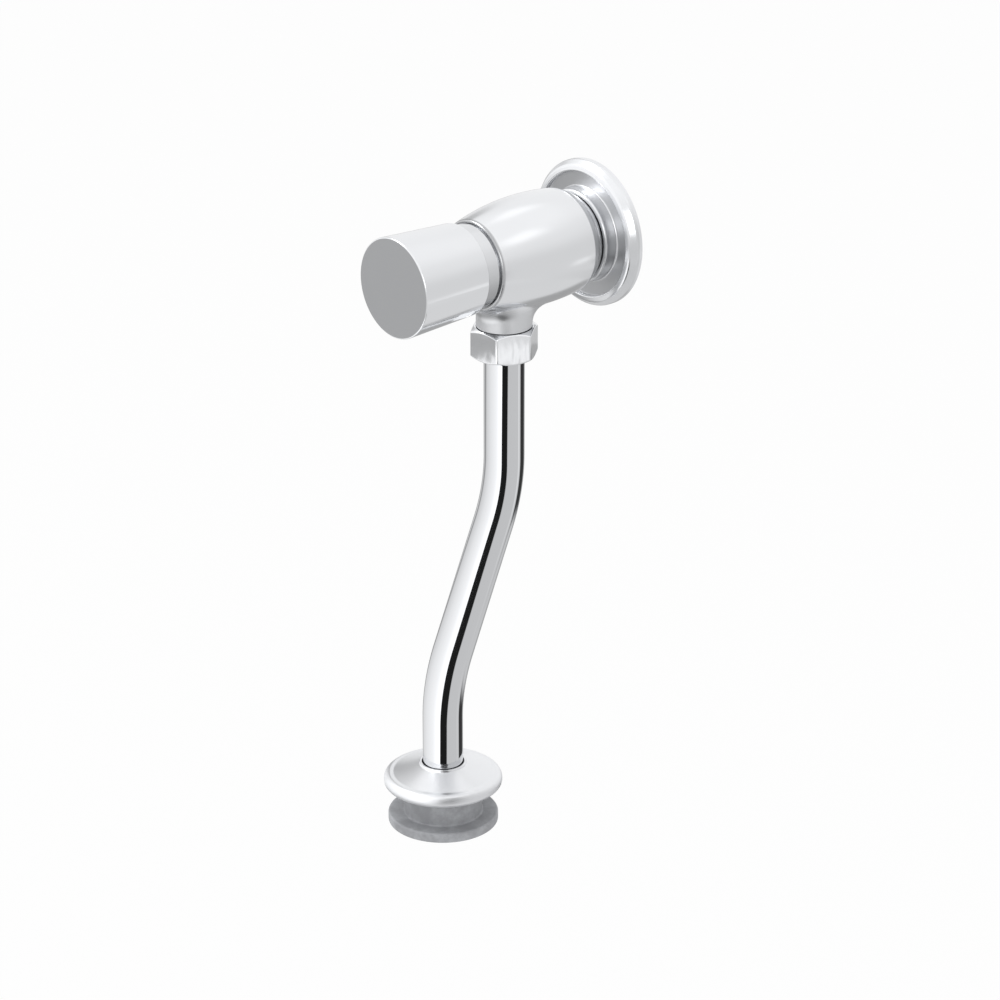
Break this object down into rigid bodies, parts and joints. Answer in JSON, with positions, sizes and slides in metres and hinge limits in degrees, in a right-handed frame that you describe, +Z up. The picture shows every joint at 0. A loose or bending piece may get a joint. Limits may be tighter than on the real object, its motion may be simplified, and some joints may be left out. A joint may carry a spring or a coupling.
{
  "type": "urinal flush valve",
  "caption": "Wall-mounted push-button urinal flush valve: barrel body with screwed delay cartridge, wall flange, union nut, bent flush tube and rubber spud with loose cover plate.",
  "frame": {"origin": "on the axis of the inlet thread, in the plane of the finished wall", "axes": "+Y into the wall along the inlet thread, -Y out towards the user and the button, +Z up, +X to the right seen from the wall side, left seen by the user"},
  "size_m": [0.0588, 0.1151, 0.261],
  "materials": {
    "chrome_plate": "polished",
    "raw_brass": "machined",
    "spring_steel": "drawn wire",
    "black_rubber": "moulded",
    "fibre_washer": "flat sheet",
    "white_acetal": "moulded",
    "grey_rubber": "moulded"
  },
  "bodies": {
    "valve": {"valve_body": "chrome_plate", "wall_flange": "chrome_plate", "flange_seal": "black_rubber", "inlet_strainer": "white_acetal", "flow_regulator": "white_acetal", "cartridge": "raw_brass", "cartridge_cap": "white_acetal", "nose_o_ring": "black_rubber", "rod_o_ring": "black_rubber", "cartridge_gasket": "fibre_washer", "bonnet": "chrome_plate", "main_spring": "spring_steel", "button_spring": "spring_steel", "union_nut": "chrome_plate", "outlet_washer": "fibre_washer", "tube_collar": "raw_brass", "down_tube": "chrome_plate", "spud_grommet": "grey_rubber"},
    "button": {"push_button": "chrome_plate", "button_stem": "raw_brass", "stem_clip": "spring_steel"},
    "piston_group": {"piston": "white_acetal", "piston_seal": "black_rubber", "metering_pin": "raw_brass", "piston_rod": "raw_brass", "seat_washer": "black_rubber", "washer_plate": "raw_brass", "washer_nut": "raw_brass"},
    "rosette": {"spud_rosette": "chrome_plate"}
  },
  "joints": [
    {"name": "button_press", "type": "slide", "parent": "valve", "child": "button", "axis": [0, 1, 0], "range_m": [0, 0.006], "stiffness_N_per_m": 700, "springref_m": -0.006, "deforming": ["button_spring"]},
    {"name": "piston_stroke", "type": "slide", "parent": "valve", "child": "piston_group", "axis": [0, 1, 0], "range_m": [0, 0.006], "stiffness_N_per_m": 1500, "springref_m": -0.006, "deforming": ["main_spring"]},
    {"name": "rosette_lift", "type": "slide", "parent": "valve", "child": "rosette", "axis": [0, 0, 1], "range_m": [0, 0.02]}
  ],
  "couplings": [
    {"joint": "piston_stroke", "follows": "button_press", "ratio": 1}
  ]
}
